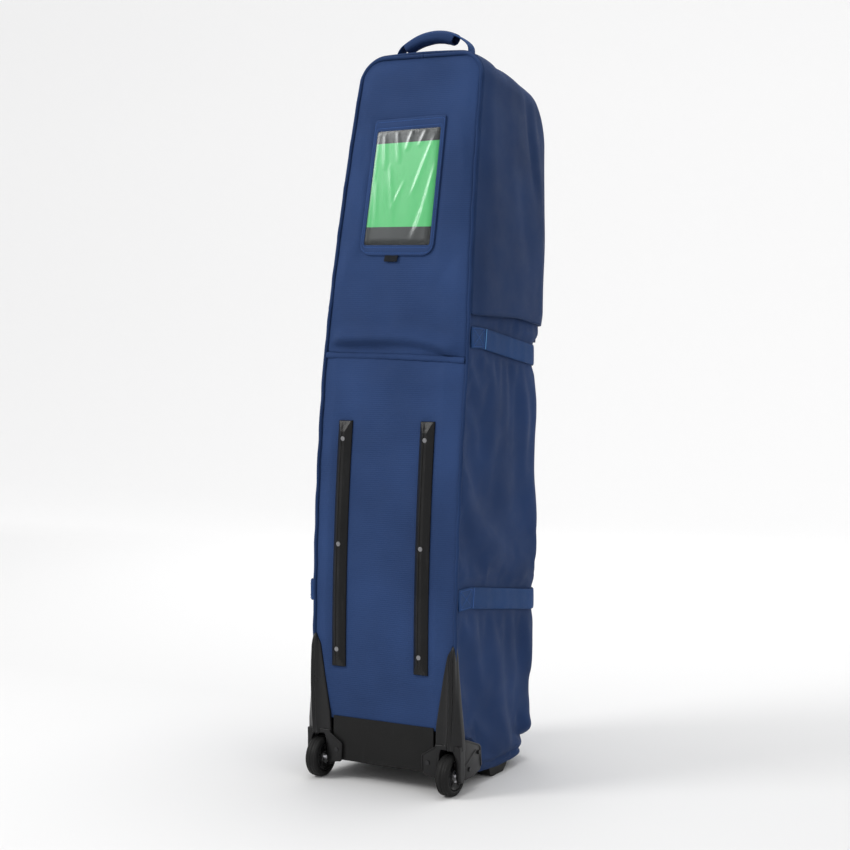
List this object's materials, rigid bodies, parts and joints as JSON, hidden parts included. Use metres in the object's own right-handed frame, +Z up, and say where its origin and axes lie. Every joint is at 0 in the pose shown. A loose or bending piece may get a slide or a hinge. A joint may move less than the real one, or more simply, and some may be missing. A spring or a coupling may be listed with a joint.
{
  "type": "golf travel case",
  "caption": "Tall soft case on two wheels for a golf bag, with a padded hood, back rails, label pocket, two compression straps and a zipped front flap.",
  "frame": {"origin": "middle of the footprint, on the ground", "axes": "+Z up along the standing case, -Y the back with the wheels, rails and label, +X to the right"},
  "size_m": [0.3022, 0.3978, 1.2875],
  "materials": {
    "body_fabric": "navy polyester with a fine crosswise rib",
    "side_fabric": "lighter unpadded navy polyester",
    "hood_fabric": "padded navy polyester",
    "piping_fabric": "navy piping",
    "webbing": "navy woven webbing",
    "zip_tape": "navy knitted tape",
    "zip_chain": "coil",
    "moulded_plastic": "fine grained black",
    "rail_plastic": "satin black",
    "buckle_plastic": "satin black",
    "board_plastic": "plain sheet",
    "wheel_rubber": "smooth polyurethane",
    "wheel_plastic": "black",
    "steel": "zinc plated",
    "slider_metal": "black enamel",
    "clear_vinyl": "clear flexible sheet",
    "printed_card": "green and black print",
    "tab_fabric": "black woven label"
  },
  "bodies": {
    "case": {"base_tray": "moulded_plastic", "wheel_housing_left": "moulded_plastic", "wheel_housing_right": "moulded_plastic", "housing_screws": "steel", "axle_bolts": "steel", "front_feet": "moulded_plastic", "lower_back_panel": "body_fabric", "back_board": "board_plastic", "rail_left": "rail_plastic", "rail_right": "rail_plastic", "rail_screws": "steel", "lower_side_left": "side_fabric", "lower_side_right": "side_fabric", "lower_front_panel": "side_fabric", "upper_back_panel": "body_fabric", "hood_side_left": "hood_fabric", "hood_side_right": "hood_fabric", "hood_top": "hood_fabric", "hood_front_top": "hood_fabric", "hood_sill": "hood_fabric", "piping_left": "piping_fabric", "piping_right": "piping_fabric", "waist_piping": "piping_fabric", "label_frame": "body_fabric", "label_window": "clear_vinyl", "label_tab": "tab_fabric", "upper_strap_left": "webbing", "upper_strap_right": "webbing", "lower_strap_left": "webbing", "lower_strap_right": "webbing", "upper_strap_slack": "webbing", "lower_strap_slack": "webbing", "upper_buckle_female": "buckle_plastic", "lower_buckle_female": "buckle_plastic", "zip_tape_fixed": "zip_tape", "zip_chain_fixed": "zip_chain", "handle_tabs": "webbing"},
    "wheel_left": {"tyre_left": "wheel_rubber", "wheel_core_left": "wheel_plastic", "bearings_left": "steel"},
    "wheel_right": {"tyre_right": "wheel_rubber", "wheel_core_right": "wheel_plastic", "bearings_right": "steel"},
    "top_handle": {"handle_webbing": "webbing", "handle_grip": "body_fabric"},
    "front_flap": {"front_flap": "body_fabric", "zip_tape_flap": "zip_tape", "zip_chain_flap": "zip_chain"},
    "insert_card": {"insert_card": "printed_card"},
    "zip_slider_left": {"zip_slider_left": "slider_metal"},
    "zip_slider_right": {"zip_slider_right": "slider_metal"},
    "zip_pull_left": {"zip_pull_left": "slider_metal"},
    "zip_pull_right": {"zip_pull_right": "slider_metal"},
    "upper_buckle_male": {"upper_buckle_male": "buckle_plastic"},
    "lower_buckle_male": {"lower_buckle_male": "buckle_plastic"}
  },
  "joints": [
    {"name": "wheel_left_spin", "type": "hinge", "parent": "case", "child": "wheel_left", "pos_m": [-0.128, -0.1646, 0.0344], "axis": [1, 0, 0], "continuous": true},
    {"name": "wheel_right_spin", "type": "hinge", "parent": "case", "child": "wheel_right", "pos_m": [0.128, -0.1646, 0.0344], "axis": [1, 0, 0], "continuous": true},
    {"name": "top_handle_tilt", "type": "hinge", "parent": "case", "child": "top_handle", "pos_m": [0.0237, -0.0316, 1.24496], "axis": [0.999, 0, -0.0454], "range_deg": [-40, 40]},
    {"name": "front_flap_hinge", "type": "hinge", "parent": "case", "child": "front_flap", "pos_m": [0.00408, 0.1929, 0.81291], "axis": [-0.999, 0, 0.0454], "range_deg": [0, 140]},
    {"name": "insert_card_slide", "type": "slide", "parent": "case", "child": "insert_card", "axis": [0.0451, 0.1146, 0.9924], "range_m": [0, 0.2]},
    {"name": "zip_slider_left_slide", "type": "slide", "parent": "case", "child": "zip_slider_left", "axis": [0.0454, 0, 0.999], "range_m": [0, 0.26]},
    {"name": "zip_slider_right_slide", "type": "slide", "parent": "case", "child": "zip_slider_right", "axis": [0.0454, 0, 0.999], "range_m": [0, 0.26]},
    {"name": "zip_pull_left_swing", "type": "hinge", "parent": "zip_slider_left", "child": "zip_pull_left", "pos_m": [-0.09786, 0.1967, 0.79892], "axis": [0.999, 0, -0.0454], "range_deg": [0, 150]},
    {"name": "zip_pull_right_swing", "type": "hinge", "parent": "zip_slider_right", "child": "zip_pull_right", "pos_m": [0.10433, 0.1967, 0.78974], "axis": [0.999, 0, -0.0454], "range_deg": [0, 150]},
    {"name": "upper_buckle_release", "type": "slide", "parent": "case", "child": "upper_buckle_male", "axis": [-1, 0, 0], "range_m": [0, 0.027], "deforming": ["upper_strap_slack"]},
    {"name": "lower_buckle_release", "type": "slide", "parent": "case", "child": "lower_buckle_male", "axis": [-1, 0, 0], "range_m": [0, 0.027], "deforming": ["lower_strap_slack"]}
  ]
}
